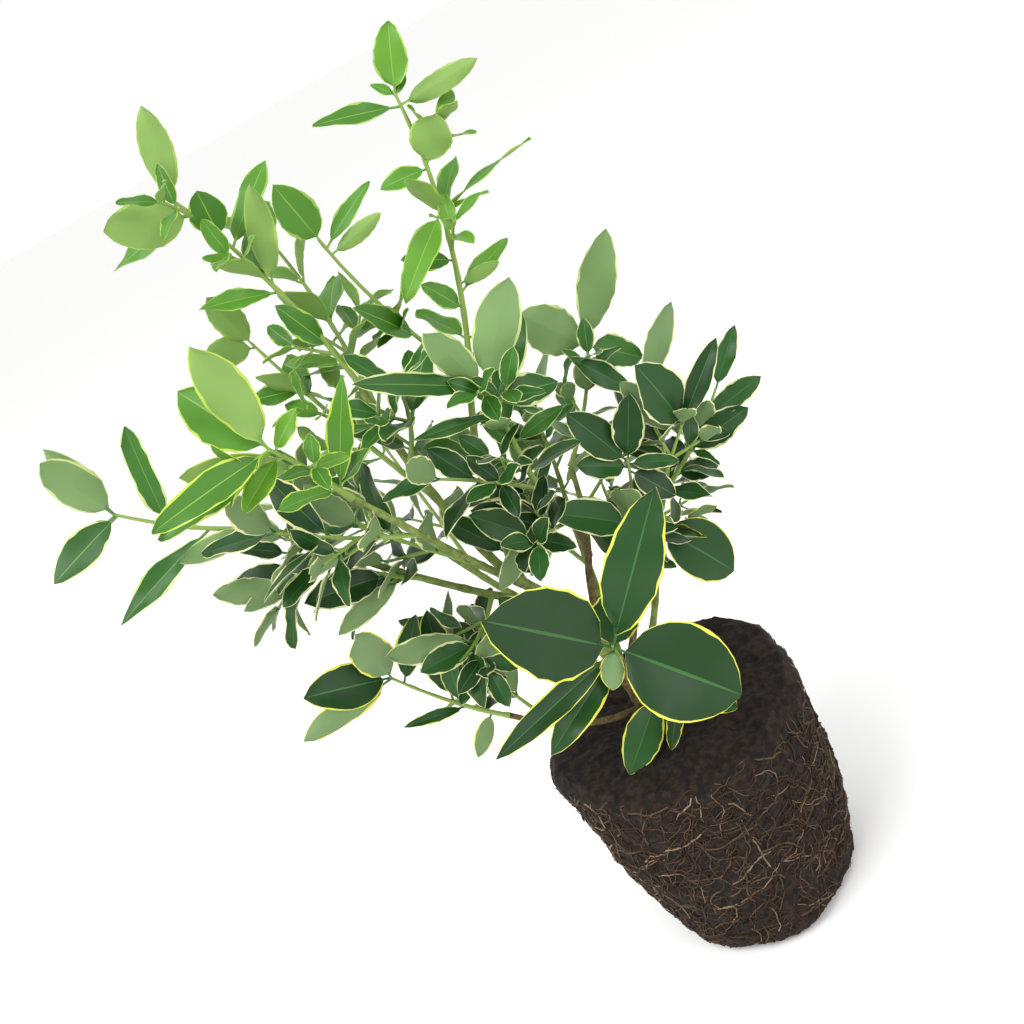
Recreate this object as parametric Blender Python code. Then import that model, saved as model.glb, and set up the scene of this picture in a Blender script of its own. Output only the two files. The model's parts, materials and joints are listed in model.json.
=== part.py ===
"""A small variegated evergreen euonymus shrub, out of its pot on a bare, root-bound ball of compost.

The tables are in millimetres and degrees, and the meshes in metres. +Z is up, -Y is the front, and the
origin is the centre of the root ball's flat underside. Heights in the tables are above the soil.
"""

import math
import random
from collections import namedtuple

import bmesh
import bpy
from mathutils import Vector
from mathutils.bvhtree import BVHTree

MM = 0.001
GAP = 0.3  # clearance between neighbouring solids
CLEARANCE = 0.4  # what a leaf keeps from every other solid

# The root ball keeps the taper of the round pot that it grew in.
BALL_HEIGHT = 105.0
BALL_TOP_RADIUS = 57.0
BALL_FOOT_RADIUS = 46.0
BALL_SIDES = 30
BALL_RINGS = 7
BALL_ROUGHNESS = 1.3  # how far its side swells and sinks
SOIL_FLAT_RADIUS = 22.0  # the level soil round the stem
RIM_RISE = 3.0  # how far the crumbly rim stands over the soil

# Stems
LIMB_SIDES = 7
TWIG_SIDES = 3
STEP_ALONG = 16.0  # length of one straight stretch of a stem
FLARE = 1.55  # the main stem's foot against its own radius
FLARE_HEIGHT = 5.0
TWIG_TIP_RADIUS = 0.55
TWIG_FOOT_RADIUS = 1.2  # at the most
SPRIG_RADIUS = 0.75

# Leaves: half width as a share of the widest, at places along the blade
LEAF_STATIONS = ((0.36, 0.86), (0.70, 0.84))
LEAF_THICKNESS = 0.028  # of its length, at the midrib
LEAF_ROOT_SINK = 0.15  # how far the root passes the twig's centre line
LEAF_ARCH = 0.12  # how far the tip bends back, as a share of the length
BLADE_START = 0.22  # the petiole's share of the length
ROOT_SHIFT = 0.12  # how far a leaf's root strays from the centre line, so that no two roots coincide
FREE_ROOT = 2.5  # past this distance from its node a leaf keeps clear of all else
LAST_NODE = 0.985
SPRIG_LEAF = 0.62  # a side twig's length against its shoot's longest leaf
SPRIG_FREE = 4.0
SPRIG_SINK = 0.6
LONE_TRIES = (0, 8, -8, 16, -16, 26, -26)  # more or less lean towards the front

# A stem grows from a place along its parent (0 foot, 1 tip) to its own tip, and its middle bows off the
# straight line between them.
Limb = namedtuple("Limb", "name parent place tip bow foot_radius tip_radius")

LIMBS = (
    Limb("main_stem", None, 0.0, (-10, -5, 30), (1, 0, 0), 4.4, 3.6),
    Limb("leader_left", "main_stem", 1.0, (-29, -10, 98), (3, 0, 2), 3.2, 2.1),
    Limb("leader_right", "main_stem", 0.72, (2, -3, 84), (-4, 2, 2), 1.7, 1.5),
    Limb("bough_left", "leader_left", 1.0, (-40, 0, 190), (-4, 2, 0), 1.9, 1.4),
    Limb("bough_tall", "leader_left", 0.88, (0, 4, 178), (-7, 2, -3), 1.6, 1.3),
    Limb("bough_near_left", "leader_left", 0.80, (-58, -60, 175), (2, -4, -3), 1.6, 1.2),
    Limb("bough_far_left", "leader_left", 0.62, (-94, -20, 168), (-1, -2, -3), 1.6, 1.1),
    Limb("bough_low_left", "main_stem", 0.35, (-57, -25, 52), (0, -4, -5), 1.5, 1.1),
    Limb("bough_centre", "leader_right", 1.0, (-3, -24, 132), (3, -3, 0), 1.5, 1.4),
    Limb("bough_inner_right", "leader_right", 0.85, (14, 18, 112), (2, 2, -2), 1.3, 1.1),
    Limb("bough_right", "main_stem", 0.80, (33, -4, 88), (-2, 2, -2), 1.7, 1.3),
    Limb("bough_front", "main_stem", 0.55, (-9, -46, 62), (0, -3, -6), 1.7, 1.4),
    Limb("bough_back", "main_stem", 0.90, (6, 42, 84), (0, 3, -5), 1.7, 1.4),
    Limb("bough_back_left", "leader_left", 0.30, (-54, 42, 108), (0, 4, -6), 1.7, 1.3),
    Limb("bough_back_right", "main_stem", 0.60, (34, 34, 58), (2, 3, -6), 1.7, 1.3),
)

# A shoot is the leafy end of a stem. Pairs of leaves stand along it from `first` to its tip, each pair
# turned a quarter from the last. `turn` is where the first pair points: 0 to front and back, 90 to left and
# right. `width` is a leaf's width against its length, and `sprigs` the number of side twigs.
Shoot = namedtuple("Shoot", "name parent place tip bow first pairs width turn sprigs")

SHOOTS = (
    Shoot("foliage_top", "bough_tall", 1.0, (22, 5, 271), (5, 0, 0), 0.06, (24, 22), 0.42, 50, 0),
    Shoot("foliage_left_top", "bough_left", 1.0, (-61, 0, 277), (3, 0, 2), 0.1, (24, 22), 0.44, 60, 1),
    Shoot(
        "foliage_left_inner", "bough_left", 0.8, (-42, 28, 246), (3, 2, 0), 0.3, (26, 28, 26, 22), 0.44, 60, 1,
    ),
    Shoot(
        "foliage_left_back", "bough_left", 0.42, (-68, 26, 218), (-3, 3, 4), 0.25, (24, 26), 0.46, 70, 1,
    ),
    Shoot(
        "foliage_upper_inner", "bough_tall", 0.93, (-26, 12, 240), (-3, 2, 0), 0.45, (20,), 0.48, 60, 0,
    ),
    Shoot(
        "foliage_upper_middle", "bough_left", 0.62, (-28, -22, 186), (2, -2, 0), 0.2, (26, 28, 24), 0.44, 60, 1,
    ),
    Shoot(
        "foliage_near_left", "bough_near_left", 1.0, (-67, -88, 210), (0, 0, 2), 0.15, (20,), 0.42, 80, 0,
    ),
    Shoot(
        "foliage_left_low", "bough_near_left", 0.72, (-86, -54, 176), (0, 0, -2), 0.3, (28, 30, 26), 0.44, 50, 1,
    ),
    Shoot(
        "foliage_left_middle", "bough_near_left", 0.4, (-66, -24, 152), (-2, 0, 2), 0.3, (28, 30, 26), 0.42, 40, 1,
    ),
    Shoot("foliage_far_left", "bough_far_left", 1.0, (-135, -20, 200), (0, 0, -3), 0.12, (), 0.46, 20, 0),
    Shoot(
        "foliage_under_left", "bough_far_left", 0.78, (-100, -32, 148), (0, 0, 2), 0.25, (26, 28), 0.44, 40, 1,
    ),
    Shoot(
        "foliage_low_left", "bough_far_left", 0.5, (-74, -20, 136), (0, -3, 0), 0.3, (26, 26), 0.46, 60, 1,
    ),
    Shoot("foliage_lowest_left", "bough_low_left", 1.0, (-88, -22, 92), (0, 0, -3), 0.3, (), 0.46, 40, 0),
    Shoot(
        "foliage_lower_left", "bough_low_left", 0.72, (-62, 2, 80), (-2, 2, -2), 0.35, (28, 30, 24), 0.48, 50, 1,
    ),
    Shoot(
        "foliage_centre_top", "bough_centre", 1.0, (-2, -37, 178), (0, 0, 0), 0.12, (24, 24), 0.46, 60, 1,
    ),
    Shoot(
        "foliage_centre_left", "bough_centre", 0.9, (-32, -40, 158), (0, -2, 2), 0.25, (26, 26, 24), 0.42, 50, 1,
    ),
    Shoot(
        "foliage_centre", "bough_centre", 0.5, (-22, -42, 126), (0, 0, -2), 0.35, (26, 24), 0.46, 60, 1,
    ),
    Shoot(
        "foliage_inner_middle", "leader_left", 0.95, (-20, -30, 140), (0, -3, 2), 0.3, (26, 26, 22), 0.42, 40, 1,
    ),
    Shoot(
        "foliage_right_middle", "leader_right", 0.62, (32, -16, 118), (5, -1, -6), 0.35, (24, 22), 0.5, 50, 1,
    ),
    Shoot(
        "foliage_right_back", "bough_inner_right", 1.0, (45, 30, 150), (2, 1, -2), 0.2, (24, 22), 0.46, 60, 0,
    ),
    Shoot(
        "foliage_right_behind", "bough_inner_right", 0.6, (56, 14, 128), (2, 2, -2), 0.35, (26, 28, 24), 0.48, 60, 1,
    ),
    Shoot(
        "foliage_right_outer", "bough_right", 1.0, (76, -6, 120), (2, 0, -2), 0.35, (22, 20), 0.5, 40, 0,
    ),
    Shoot(
        "foliage_right_inner", "bough_right", 0.8, (56, -22, 122), (0, -2, 2), 0.45, (22,), 0.55, 60, 0,
    ),
    Shoot("foliage_right_low", "bough_right", 0.6, (40, 14, 74), (0, 0, 2), 0.5, (24,), 0.5, 60, 0),
    Shoot("foliage_front", "bough_front", 1.0, (-9, -58, 76), (0, 0, 0), 0.1, (), 0.6, 0, 0),
    Shoot("foliage_foot", "main_stem", 0.35, (10, -32, 22), (0, 0, 3), 0.6, (), 0.42, 50, 0),
    Shoot(
        "foliage_back", "bough_back", 1.0, (16, 76, 138), (2, 3, -2), 0.15, (32, 34, 32, 26), 0.46, 40, 2,
    ),
    Shoot(
        "foliage_back_inner", "bough_back", 0.7, (-18, 60, 118), (-2, 2, 0), 0.3, (30, 32, 26), 0.46, 10, 1,
    ),
    Shoot(
        "foliage_back_left", "bough_back_left", 1.0, (-92, 62, 142), (-2, 2, -2), 0.15, (32, 34, 32, 26), 0.46, 60, 2,
    ),
    Shoot(
        "foliage_back_middle", "bough_back_left", 0.68, (-50, 74, 146), (0, 3, -2), 0.3, (30, 32, 26), 0.46, 30, 1,
    ),
    Shoot(
        "foliage_back_right", "bough_back_right", 1.0, (56, 52, 84), (2, 0, -3), 0.15, (30, 30, 26), 0.46, 50, 1,
    ),
    Shoot(
        "foliage_back_low", "bough_back_right", 0.66, (28, 74, 78), (-2, 3, -2), 0.35, (28, 30, 24), 0.46, 20, 1,
    ),
    Shoot(
        "foliage_middle_left", "bough_far_left", 0.25, (-60, -40, 92), (0, -2, -2), 0.35, (26, 26), 0.46, 40, 1,
    ),
    Shoot("foliage_heart", "leader_left", 0.4, (-34, -40, 92), (0, -2, -2), 0.45, (26, 24), 0.46, 60, 0),
)

# Leaves that stand out one by one: place along the shoot, lean from upright (to the right), lean towards
# the front, length, width against the length, and the side that it turns to the front: 1 its upper side, -1
# its underside, 0 neither.
LONE_LEAVES = {
    "foliage_top": (
        (1.00, 22, 10, 23, 0.50, 1), (0.98, 50, 0, 8, 0.5, 1), (0.98, -37, 0, 9, 0.4, 1),
        (0.94, -70, 10, 31, 0.24, 1), (0.94, 90, 0, 30, 0.26, -1), (0.71, 35, 25, 20, 0.72, -1),
        (0.70, -80, 0, 18, 0.45, 1), (0.53, 75, -10, 42, 0.12, 0), (0.53, 86, 10, 18, 0.3, 0),
        (0.54, -119, 35, 38, 0.28, 1), (0.35, -54, 15, 20, 0.45, 1), (0.26, 88, 10, 17, 0.3, -1),
        (0.23, 71, -15, 28, 0.26, 1), (0.17, -27, 10, 18, 0.45, 1),
    ),
    "foliage_left_top": (
        (1.00, 15, 0, 31, 0.34, -1), (0.90, -70, 15, 30, 0.52, -1), (0.92, -95, -15, 36, 0.22, 1),
        (0.77, 5, 10, 17, 0.74, 1), (0.50, 20, 10, 37, 0.26, -1), (0.71, 49, -15, 33, 0.28, 1),
        (0.47, -66, 15, 28, 0.26, 1), (0.19, -18, 15, 24, 0.38, 1),
    ),
    "foliage_upper_inner": (
        (1.00, -8, 20, 26, 0.54, 1), (0.94, 60, 0, 28, 0.24, 1), (0.90, 79, 10, 24, 0.26, -1),
        (0.31, -25, 20, 33, 0.30, 1),
    ),
    "foliage_left_back": ((1.00, -9, 15, 27, 0.42, -1), (0.97, -64, 20, 20, 0.54, -1), (0.67, -66, 10, 20, 0.4, 1)),
    "foliage_near_left": (
        (1.00, -1, 10, 39, 0.34, -1), (0.97, -28, -15, 32, 0.50, 1), (1.00, -85, 25, 40, 0.26, 1),
        (0.95, -95, 5, 42, 0.22, 1), (0.92, 51, 15, 15, 0.40, 1), (0.86, -110, 30, 20, 0.40, 1),
        (0.12, 28, 15, 38, 0.22, 1), (0.60, -60, 12, 36, 0.28, -1),
    ),
    "foliage_far_left": (
        (1.00, -12, 15, 33, 0.44, -1), (0.98, -15, -15, 32, 0.30, -1), (0.97, -101, 20, 31, 0.42, 1),
        (0.98, -103, -10, 36, 0.26, 1), (0.67, 10, 0, 37, 0.26, 1), (0.40, -100, 15, 46, 0.20, 1),
        (0.10, -80, 15, 28, 0.30, -1),
    ),
    "foliage_under_left": ((0.48, -87, 20, 28, 0.28, -1), (0.90, -60, 10, 26, 0.36, -1)),
    "foliage_low_left": (
        (1.00, -81, 10, 46, 0.38, -1), (0.60, -63, 25, 32, 0.42, 1), (0.35, -88, 30, 34, 0.24, -1),
    ),
    "foliage_lowest_left": (
        (1.00, -57, 20, 34, 0.50, 1), (0.98, -94, 0, 40, 0.28, -1), (0.97, 0, 5, 36, 0.42, -1),
        (0.89, 37, 0, 28, 0.36, 1), (0.50, 13, -5, 38, 0.36, 1), (0.44, 13, 12, 30, 0.28, 1),
        (0.39, -62, 20, 26, 0.18, 1), (0.17, -129, 15, 18, 0.40, -1),
    ),
    "foliage_centre_top": (
        (1.00, 38, 10, 40, 0.38, -1), (0.98, -17, 20, 35, 0.32, -1), (0.80, 48, -15, 33, 0.34, 1),
        (0.97, -50, 20, 48, 0.18, 1), (0.84, 103, -5, 25, 0.48, 1), (0.72, -67, 20, 33, 0.16, 1),
        (0.42, 81, 0, 22, 0.30, 1), (0.37, -17, 15, 20, 0.30, 1),
    ),
    "foliage_centre": (
        (0.30, -38, 20, 36, 0.40, 1), (0.32, -113, 30, 21, 0.34, -1), (0.67, -117, 10, 22, 0.38, -1),
    ),
    "foliage_right_middle": (
        (1.00, 22, 15, 27, 0.44, 1), (0.95, -51, 10, 21, 0.52, 1), (0.97, 108, 15, 19, 0.34, 1),
        (0.93, 144, 15, 20, 0.55, 1), (0.98, -20, 0, 30, 0.47, 1), (0.61, -38, 25, 40, 0.36, 1),
    ),
    "foliage_right_back": ((1.00, 32, 10, 49, 0.30, -1), (0.95, -33, 5, 34, 0.56, -1), (0.97, 128, 5, 24, 0.58, 1)),
    "foliage_right_behind": ((0.95, 47, -10, 36, 0.28, -1), (0.90, -29, -5, 34, 0.28, 1)),
    "foliage_right_outer": (
        (1.00, 42, 0, 25, 0.30, 1), (0.75, 76, 10, 27, 0.36, 1), (0.50, 69, 15, 28, 0.44, 1),
        (0.30, 104, 10, 17, 0.56, 1),
    ),
    "foliage_right_inner": (
        (1.00, -10, 20, 33, 0.55, 1), (0.97, 45, 5, 34, 0.26, 1), (0.98, 15, 45, 14, 0.60, -1),
        (0.90, -20, -15, 30, 0.36, -1),
    ),
    "foliage_right_low": ((0.73, 147, 10, 40, 0.62, 1),),
    "foliage_front": (
        (0.95, 36, 10, 62, 0.32, 1), (0.90, -32, 25, 62, 0.50, 1), (1.00, 135, 25, 49, 0.70, 1),
        (0.70, -87, 25, 58, 0.17, 1), (0.50, -102, 30, 44, 0.28, 1), (0.70, 35, -25, 22, 0.80, 1),
        (0.85, -141, 30, 15, 0.60, -1),
    ),
    "foliage_foot": ((0.30, -115, 10, 34, 0.45, 1), (0.75, -140, 20, 24, 0.28, 1), (1.00, 140, 5, 22, 0.40, 1)),
    "foliage_heart": ((0.60, -40, 20, 22, 0.60, 1), (1.00, -77, 20, 22, 0.42, -1)),
    "foliage_middle_left": ((0.60, -62, 10, 36, 0.30, -1),),
}

FRONT = Vector((0, -1, 0))
OUTLOOK = Vector((0, -0.88, 0.47))  # where a leaf that shows a side turns it: to the front, and a little up
UP = Vector((0, 0, 1))
SOIL = Vector((0, 0, BALL_HEIGHT))
TRIES = ((0, 1.0), (14, 1.0), (-14, 1.0), (28, 0.9), (-28, 0.9), (0, 0.75))  # turn, length share


def material(name, colour, roughness):
    """A plain finish for the solids."""
    made = bpy.data.materials.new(name)
    made.use_nodes = True
    shader = made.node_tree.nodes["Principled BSDF"]
    shader.inputs["Base Color"].default_value = (*colour, 1)
    shader.inputs["Roughness"].default_value = roughness
    shader.inputs["Metallic"].default_value = 0
    return made


class Stem:
    """A tapering stem on a quadratic curve, which starts on its parent's centre line."""

    def __init__(self, row, start, foot_radius, tip_radius):
        self.name = row.name
        self.parent = row.parent
        self.place = row.place
        self.start = start
        self.tip = SOIL + Vector(row.tip)
        self.middle = (self.start + self.tip) / 2 + 2 * Vector(row.bow)
        self.radii = (foot_radius, tip_radius)

    def point(self, place):
        back = 1 - place
        return back * back * self.start + 2 * back * place * self.middle + place * place * self.tip

    def direction(self, place):
        return ((1 - place) * (self.middle - self.start) + place * (self.tip - self.middle)).normalized()

    def radius(self, place):
        return self.radii[0] + (self.radii[1] - self.radii[0]) * place

    def length(self):
        steps = 24
        points = [self.point(i / steps) for i in range(steps + 1)]
        return sum((b - a).length for a, b in zip(points, points[1:]))


def frame_round(axis):
    """Two directions square to the axis: the first towards the front, the second to its right."""
    first = FRONT - FRONT.dot(axis) * axis
    if first.length < 0.05:
        first = UP - UP.dot(axis) * axis
    first.normalize()
    return first, axis.cross(first)


def ring(centre, axis, radius, sides):
    first, second = frame_round(axis)
    turns = [2 * math.pi * i / sides for i in range(sides)]
    return [centre + radius * (math.cos(a) * first + math.sin(a) * second) for a in turns]


def slid_to_parent(point, direction, parent, place, clear):
    """How far a point goes along the direction before it is clear of the parent's side."""
    axis = parent.direction(place)
    offset = point - parent.point(place)
    across = offset - offset.dot(axis) * axis
    run = direction - direction.dot(axis) * axis
    reach = parent.radius(place) + clear
    half = across.dot(run)
    return (math.sqrt(half * half - run.length_squared * (across.length_squared - reach * reach)) - half) / (
        run.length_squared
    )


def foot_ring(stem, parent, sides):
    """The first ring of a stem and its centre: a saddle on the parent's side, or flat on the parent's tip."""
    axis = stem.direction(0)
    if stem.place == 1.0:
        level = parent.direction(1)
        centre = stem.start + GAP * level
        return ring(centre, level, stem.radii[0], sides), centre, GAP
    flat = ring(stem.start, axis, stem.radii[0], sides)
    slides = [slid_to_parent(p, axis, parent, stem.place, GAP + 0.05) for p in flat]
    centre = stem.start + slid_to_parent(stem.start, axis, parent, stem.place, GAP + 0.05) * axis
    return [p + s * axis for p, s in zip(flat, slides)], centre, max(slides)


def tube(rings, foot_centre, tip_centre):
    """Vertices and faces of a closed tube, with each end fanned from its centre."""
    sides = len(rings[0])
    points = [p for one in rings for p in one] + [foot_centre, tip_centre]
    faces = []
    for r in range(len(rings) - 1):
        for i in range(sides):
            a, b = r * sides + i, r * sides + (i + 1) % sides
            faces.append((a, b, b + sides, a + sides))
    foot, tip = len(points) - 2, len(points) - 1
    last = (len(rings) - 1) * sides
    for i in range(sides):
        j = (i + 1) % sides
        faces.append((foot, j, i))
        faces.append((tip, last + i, last + j))
    return points, faces


def stem_shape(stem, parent, sides, widen=0.0):
    """The closed tube of a stem, from its seat on the parent to its tip."""
    if parent is None:
        rings = [ring(stem.start, UP, stem.radii[0] * FLARE + widen, sides)]
        foot_centre, seat = stem.start, 0.0
    else:
        first, foot_centre, seat = foot_ring(stem, parent, sides)
        rings = [first]
    length = stem.length()
    begin = (seat + (FLARE_HEIGHT if parent is None else 0.7 * stem.radii[0])) / length
    steps = max(1, round((1 - begin) * length / STEP_ALONG))
    for i in range(steps + 1):
        place = begin + (1 - begin) * i / steps
        rings.append(ring(stem.point(place), stem.direction(place), stem.radius(place) + widen, sides))
    return tube(rings, foot_centre, stem.tip)


def leaf_shape(root, direction, upper, length, width, arch, swell=0.0):
    """A closed lens in the leaf's outline: six points round the edge, one over and one under the midrib."""
    side = direction.cross(upper)
    middle = root + direction * (0.5 * length) - upper * (0.25 * arch * length)
    half_thick = upper * (LEAF_THICKNESS * length / 2 + swell)
    edge = [root - direction * LEAF_ROOT_SINK]
    tip = root + direction * length - upper * (arch * length)
    for along, share in LEAF_STATIONS:
        centre = root + direction * (along * length) - upper * (arch * length * along * along)
        edge.append(centre + side * (width / 2 * share + swell) + upper * (0.05 * width))
    edge.append(tip)
    for along, share in reversed(LEAF_STATIONS):
        centre = root + direction * (along * length) - upper * (arch * length * along * along)
        edge.append(centre - side * (width / 2 * share + swell) + upper * (0.05 * width))
    points = [*edge, middle + half_thick, middle - half_thick]
    faces = []
    for i in range(6):
        j = (i + 1) % 6
        faces.append((6, i, j))
        faces.append((7, j, i))
    return points, faces


def tree_of(shape):
    return BVHTree.FromPolygons(*shape)


class Mass:
    """The foliage of one shoot: a main twig, its side twigs, and their leaves."""

    def __init__(self, row, twig, others):
        self.row = row
        self.twig = twig
        self.others = others
        self.rng = random.Random(row.name)
        self.shapes = []
        self.blades = []

    def clear_of_others(self, shape):
        tree = tree_of(shape)
        return not any(tree.overlap(other) for other in self.others)

    def clear_of_own(self, tree):
        return not any(tree.overlap(blade) for blade in self.blades)

    def put_leaf(self, node, axis, direction, length, width, shows=0):
        """Adds the leaf where nothing is in its way. Only its petiole may meet the leaves beside it."""
        node = node + Vector([self.rng.uniform(-ROOT_SHIFT, ROOT_SHIFT) for _ in range(3)])
        upper = 0.7 * axis + 0.5 * UP
        if shows:
            upper = 2.2 * shows * OUTLOOK + 0.5 * upper
        upper = (upper - upper.dot(direction) * direction).normalized()

        def part_from(distance, swell):
            share = (length - distance) / length
            root = node + distance * direction
            return leaf_shape(root, direction, upper, length * share, width, LEAF_ARCH, swell)

        if not self.clear_of_others(part_from(0, 0)) or not self.clear_of_others(part_from(FREE_ROOT, CLEARANCE)):
            return False
        blade = tree_of(part_from(BLADE_START * length, CLEARANCE / 2))
        if not self.clear_of_own(blade):
            return False
        self.shapes.append(part_from(0, 0))
        self.blades.append(blade)
        return True

    def leaf_of_pair(self, node, axis, turn, spread, length):
        first, second = frame_round(axis)
        lean = math.radians(spread)
        for extra, share in TRIES:
            angle = math.radians(turn + extra)
            out = math.cos(angle) * first + math.sin(angle) * second
            direction = (math.cos(lean) * axis + math.sin(lean) * out).normalized()
            size = length * share
            if self.put_leaf(node, axis, direction, size, size * self.row.width):
                return

    def lone_leaf(self, place, lean, toward, length, width, shows):
        node, axis = self.twig.point(min(place, LAST_NODE)), self.twig.direction(place)
        for extra in LONE_TRIES:
            side, front = math.radians(lean), math.radians(toward + extra)
            across = math.cos(front)
            direction = Vector((math.sin(side) * across, -math.sin(front), math.cos(side) * across))
            if self.put_leaf(node, axis, direction, length, length * width, shows):
                return

    def sprig(self, node, axis, turn):
        """Adds a side twig from a leaf's axil, with a pair of leaves and a pair at its tip."""
        first, second = frame_round(axis)
        angle = math.radians(turn)
        out = math.cos(angle) * first + math.sin(angle) * second
        direction = (axis + 0.9 * out).normalized()
        length = max(self.row.pairs) * SPRIG_LEAF
        tip = node + direction * length
        end = ring(tip, direction, TWIG_TIP_RADIUS, TWIG_SIDES)
        free = node + direction * SPRIG_FREE
        beyond = tube([ring(free, direction, SPRIG_RADIUS + CLEARANCE, TWIG_SIDES), end], free, tip)
        root = node - direction * SPRIG_SINK
        whole = tube([ring(root, direction, SPRIG_RADIUS, TWIG_SIDES), end], root, tip)
        if not self.clear_of_others(whole) or not self.clear_of_others(beyond):
            return
        if not self.clear_of_own(tree_of(beyond)):
            return
        self.shapes.append(whole)
        self.blades.append(tree_of(beyond))
        swing = self.rng.uniform(0, 180)
        for side in (0, 180):
            self.leaf_of_pair(node + direction * length * 0.55, direction, swing + side, 52, length)
            self.leaf_of_pair(tip - direction * 0.8, direction, swing + 90 + side, 38, length)

    def grow(self):
        row = self.row
        for leaf in LONE_LEAVES.get(row.name, ()):
            self.lone_leaf(*leaf)
        count = len(row.pairs)
        last = LAST_NODE if row.name not in LONE_LEAVES else (row.first + LAST_NODE) / 2
        nodes = [row.first + (last - row.first) * i / max(1, count - 1) for i in range(count)]
        for i, (place, length) in enumerate(zip(nodes, row.pairs)):
            spread = 62 - 30 * i / max(1, count - 1) + self.rng.uniform(-6, 6)
            turn = row.turn + 90 * i + self.rng.uniform(-8, 8)
            node, axis = self.twig.point(place), self.twig.direction(place)
            for side in (0, 180):
                share = self.rng.uniform(0.88, 1.08)
                self.leaf_of_pair(node, axis, turn + side, spread, length * share)
        for i in range(row.sprigs):
            place = nodes[min(i, count - 1)] + 0.05
            turn = row.turn + 90 * i + 180 * self.rng.randint(0, 1) + 25
            self.sprig(self.twig.point(place), self.twig.direction(place), turn)


def add_object(name, shape, finish):
    points, faces = shape
    mesh = bpy.data.meshes.new(name)
    mesh.from_pydata([tuple(MM * p) for p in points], [], faces)
    mesh.materials.append(finish)
    made = bpy.data.objects.new(name, mesh)
    bpy.context.scene.collection.objects.link(made)
    return made


def ball_ring(height, radius, rough):
    """One ring of the root ball, swelling and sinking as the pot's ribs and the matted roots leave it."""
    made = []
    for i in range(BALL_SIDES):
        turn = 2 * math.pi * i / BALL_SIDES
        swell = math.sin(3 * turn + height / 19) + 0.6 * math.sin(7 * turn - height / 13)
        reach = radius + rough * swell
        made.append(Vector((reach * math.cos(turn), reach * math.sin(turn), height)))
    return made


def root_ball(finish):
    """A tapered round of compost on a flat underside, with a worn lower edge and a crumbly rim."""
    rings = [ball_ring(0, BALL_FOOT_RADIUS - 4, 0), ball_ring(4, BALL_FOOT_RADIUS, 0.5)]
    for i in range(1, BALL_RINGS):
        share = i / BALL_RINGS
        radius = BALL_FOOT_RADIUS + (BALL_TOP_RADIUS - BALL_FOOT_RADIUS) * share ** 0.8
        rings.append(ball_ring(4 + (BALL_HEIGHT - 10) * share, radius, BALL_ROUGHNESS))
    rings.append(ball_ring(BALL_HEIGHT - 3, BALL_TOP_RADIUS, 1.1))
    rim = ball_ring(BALL_HEIGHT, BALL_TOP_RADIUS - 4, 1.0)
    for i, p in enumerate(rim):
        p.z += RIM_RISE * (0.5 + 0.5 * math.sin(5 * i) * math.cos(2 * i))
    rings.append(rim)
    rings.append(ball_ring(BALL_HEIGHT, SOIL_FLAT_RADIUS, 0))
    return add_object("root_ball", tube(rings, Vector(), SOIL.copy()), finish)


def fuse(made, shapes, finish):
    """Joins the leaves and side twigs to their twig in one Boolean union."""
    loose = bpy.data.collections.new(made.name + "_leaves")
    bpy.context.scene.collection.children.link(loose)
    for i, shape in enumerate(shapes):
        leaf = add_object(f"{made.name}_leaf_{i}", shape, finish)
        bpy.context.scene.collection.objects.unlink(leaf)
        loose.objects.link(leaf)
    union = made.modifiers.new("leaves", "BOOLEAN")
    union.operation = "UNION"
    union.solver = "MANIFOLD"
    union.operand_type = "COLLECTION"
    union.collection = loose
    graph = bpy.context.evaluated_depsgraph_get()
    joined = bpy.data.meshes.new_from_object(made.evaluated_get(graph))
    made.modifiers.remove(union)
    made.data = joined
    for leaf in list(loose.objects):
        bpy.data.objects.remove(leaf)
    bpy.data.collections.remove(loose)


def drop_scraps(made):
    """Keeps the largest connected part of a mesh."""
    shape = bmesh.new()
    shape.from_mesh(made.data)
    unseen = set(shape.verts)
    parts = []
    while unseen:
        part, edge = set(), [unseen.pop()]
        while edge:
            vert = edge.pop()
            part.add(vert)
            for link in vert.link_edges:
                other = link.other_vert(vert)
                if other in unseen:
                    unseen.remove(other)
                    edge.append(other)
        parts.append(part)
    parts.sort(key=len)
    bmesh.ops.delete(shape, geom=[v for part in parts[:-1] for v in part], context="VERTS")
    shape.to_mesh(made.data)
    shape.free()


def clear_scene():
    for old in list(bpy.data.objects):
        bpy.data.objects.remove(old)


def grown_stems():
    """Every stem by name, the limbs and then the shoots' main twigs, each started on its parent."""
    stems = {}
    for row in LIMBS:
        start = SOIL + Vector((-8, -6, GAP)) if row.parent is None else stems[row.parent].point(row.place)
        stems[row.name] = Stem(row, start, row.foot_radius, row.tip_radius)
    for row in SHOOTS:
        parent = stems[row.parent]
        foot = min(parent.radius(row.place) * (1.0 if row.place == 1.0 else 0.72), TWIG_FOOT_RADIUS)
        stems[row.name] = Stem(row, parent.point(row.place), foot, TWIG_TIP_RADIUS)
    return stems


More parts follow.
